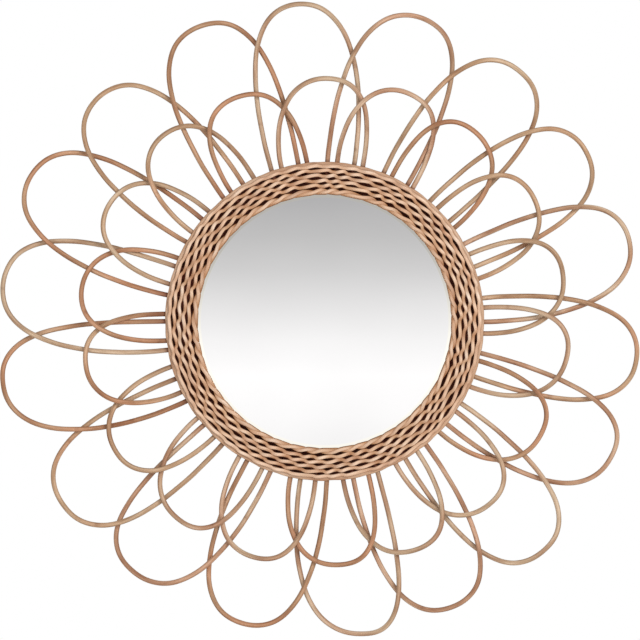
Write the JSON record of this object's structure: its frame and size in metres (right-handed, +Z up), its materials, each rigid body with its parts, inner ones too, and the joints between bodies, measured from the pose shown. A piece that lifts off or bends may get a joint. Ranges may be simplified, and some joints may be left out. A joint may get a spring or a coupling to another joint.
{
  "type": "wall mirror",
  "caption": "Round wall mirror in a woven cane ring, framed by an outer and an inner row of looped cane petals like a flower.",
  "frame": {"origin": "on the wall, behind the middle of the glass, at the rear face of the backing board", "axes": "+Z up, +X to the right as seen from the front, and the mirror faces -Y; +Y points into the wall"},
  "size_m": [0.597, 0.0224, 0.5933],
  "materials": {
    "cane": "natural rattan core, satin",
    "woven_rattan": "natural woven rattan, satin",
    "silvered_glass": "silvered float glass",
    "board": "dark stained fibreboard, matt"
  },
  "bodies": {
    "root": {"backing_board": "board", "mirror_glass": "silvered_glass", "woven_ring": "woven_rattan", "outer_petal_01": "cane", "outer_petal_02": "cane", "outer_petal_03": "cane", "outer_petal_04": "cane", "outer_petal_05": "cane", "outer_petal_06": "cane", "outer_petal_07": "cane", "outer_petal_08": "cane", "outer_petal_09": "cane", "outer_petal_10": "cane", "outer_petal_11": "cane", "outer_petal_12": "cane", "outer_petal_13": "cane", "outer_petal_14": "cane", "outer_petal_15": "cane", "outer_petal_16": "cane", "outer_petal_17": "cane", "outer_petal_18": "cane", "inner_petal_01": "cane", "inner_petal_02": "cane", "inner_petal_03": "cane", "inner_petal_04": "cane", "inner_petal_05": "cane", "inner_petal_06": "cane", "inner_petal_07": "cane", "inner_petal_08": "cane", "inner_petal_09": "cane", "inner_petal_10": "cane", "inner_petal_11": "cane", "inner_petal_12": "cane", "inner_petal_13": "cane", "inner_petal_14": "cane", "inner_petal_15": "cane", "inner_petal_16": "cane", "inner_petal_17": "cane", "inner_petal_18": "cane"}
  },
  "joints": []
}
